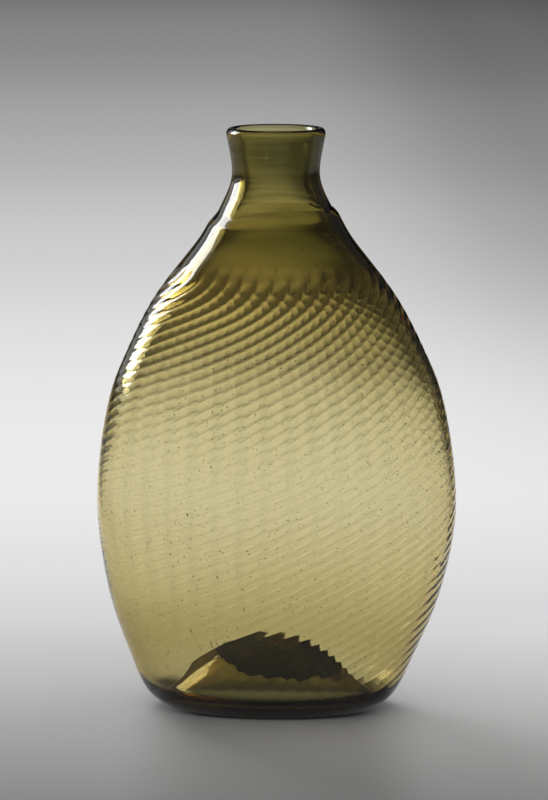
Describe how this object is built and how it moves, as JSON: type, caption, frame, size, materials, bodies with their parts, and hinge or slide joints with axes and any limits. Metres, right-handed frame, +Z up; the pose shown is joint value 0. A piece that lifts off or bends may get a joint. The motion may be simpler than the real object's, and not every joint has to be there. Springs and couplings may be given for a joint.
{
  "type": "pocket bottle",
  "caption": "Flattened pocket bottle of blown olive glass, with a swirl-ribbed second gather that ends in a step below a plain round neck, and a pushed-up base.",
  "frame": {"origin": "centre of the bounding box at the resting plane", "axes": "+Z up to the mouth, +X across the wide face to its right seen from the front, -Y out of the front face"},
  "size_m": [0.1008, 0.0566, 0.163],
  "materials": {
    "post_glass": "clear olive-amber glass, fire polished at the lip",
    "jacket_glass": "clear olive-amber glass with soft swirled ribs and small seeds",
    "scar_glass": "olive-amber glass, broken off rough"
  },
  "bodies": {
    "root": {"first_gather": "post_glass", "half_post": "jacket_glass", "pontil_scar": "scar_glass"}
  },
  "joints": []
}
